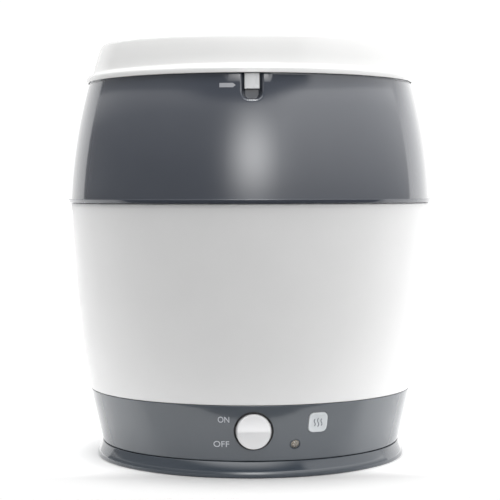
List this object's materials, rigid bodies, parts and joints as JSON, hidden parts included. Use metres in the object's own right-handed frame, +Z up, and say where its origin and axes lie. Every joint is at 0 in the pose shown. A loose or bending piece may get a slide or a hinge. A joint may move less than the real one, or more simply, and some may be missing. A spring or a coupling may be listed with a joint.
{
  "type": "bottle steriliser",
  "caption": "Barrel-shaped electric steam steriliser for baby bottles: stacked chambers on a heater base with a rocker switch, under a domed lid.",
  "frame": {"origin": "on the axis of the stack, on the surface that the feet stand on", "axes": "+Z up the stack's axis; the front, with the switch and the lid's tab, faces -Y; +X is to the right as seen from the front"},
  "size_m": [0.2788, 0.2788, 0.325],
  "materials": {
    "lid_white": "moulded gloss",
    "tab_white": "moulded gloss",
    "chamber_grey": "polished gloss",
    "chamber_white": "moulded satin gloss",
    "rack_white": "moulded",
    "base_grey": "satin",
    "plinth_grey": "polished gloss",
    "knob_white": "moulded gloss",
    "bezel_black": "satin",
    "badge_silver": "satin",
    "lens_clear": "clear",
    "lamp_glass": "clear",
    "steel": "brushed",
    "aluminium": "cast",
    "element_steel": "heat-tinted",
    "screw_steel": "plated",
    "silicone": "moulded",
    "rubber": "moulded",
    "switch_black": "moulded",
    "terminal_white": "moulded",
    "wire_brown": "insulation",
    "wire_blue": "insulation",
    "wire_green": "insulation"
  },
  "bodies": {
    "base": {"badge_plate": "badge_silver", "base_cover": "plinth_grey", "base_housing": "base_grey", "cable_gland": "rubber", "cover_screw_1": "screw_steel", "cover_screw_2": "screw_steel", "cover_screw_3": "screw_steel", "cover_screw_4": "screw_steel", "dish_seal": "silicone", "element_bracket": "steel", "foot_1": "rubber", "foot_2": "rubber", "foot_3": "rubber", "foot_4": "rubber", "heat_spreader": "aluminium", "heating_dish": "steel", "heating_element": "element_steel", "indicator_lamp": "lamp_glass", "indicator_lens": "lens_clear", "knob_bezel": "bezel_black", "knob_pin": "screw_steel", "lamp_holder": "terminal_white", "lamp_lead_live": "wire_brown", "lamp_lead_neutral": "wire_blue", "switch_body": "switch_black", "terminal_block": "terminal_white", "thermal_fuse": "steel", "thermostat": "switch_black", "wire_earth": "wire_green", "wire_fuse": "wire_brown", "wire_live": "wire_brown", "wire_neutral": "wire_blue", "wire_switched": "wire_brown", "wire_thermostat": "wire_brown"},
    "rocker": {"rocker_knob": "knob_white"},
    "lower_chamber": {"lower_chamber": "chamber_white"},
    "bottle_rack": {"bottle_rack": "rack_white"},
    "upper_chamber": {"upper_chamber": "chamber_grey"},
    "accessory_tray": {"accessory_tray": "rack_white"},
    "lid": {"lid_shell": "lid_white", "tab_pin": "screw_steel"},
    "lid_tab": {"lid_tab": "tab_white"}
  },
  "joints": [
    {"name": "rocker_tilt", "type": "hinge", "parent": "base", "child": "rocker", "pos_m": [0, -0.117, 0.0334], "axis": [-1, 0, 0], "range_deg": [0, 10]},
    {"name": "lower_chamber_lift", "type": "slide", "parent": "base", "child": "lower_chamber", "axis": [0, 0, 1], "range_m": [0, 0.08]},
    {"name": "bottle_rack_lift", "type": "slide", "parent": "lower_chamber", "child": "bottle_rack", "axis": [0, 0, 1], "range_m": [0, 0.085]},
    {"name": "upper_chamber_lift", "type": "slide", "parent": "lower_chamber", "child": "upper_chamber", "axis": [0, 0, 1], "range_m": [0, 0.1]},
    {"name": "accessory_tray_lift", "type": "slide", "parent": "upper_chamber", "child": "accessory_tray", "axis": [0, 0, 1], "range_m": [0, 0.085]},
    {"name": "lid_lift", "type": "slide", "parent": "upper_chamber", "child": "lid", "axis": [0, 0, 1], "range_m": [0, 0.12]},
    {"name": "lid_tab_flex", "type": "hinge", "parent": "lid", "child": "lid_tab", "pos_m": [-0.00085, -0.1218, 0.2846], "axis": [-1, 0, 0], "range_deg": [0, 12], "stiffness_Nm_per_rad": 0.02}
  ]
}
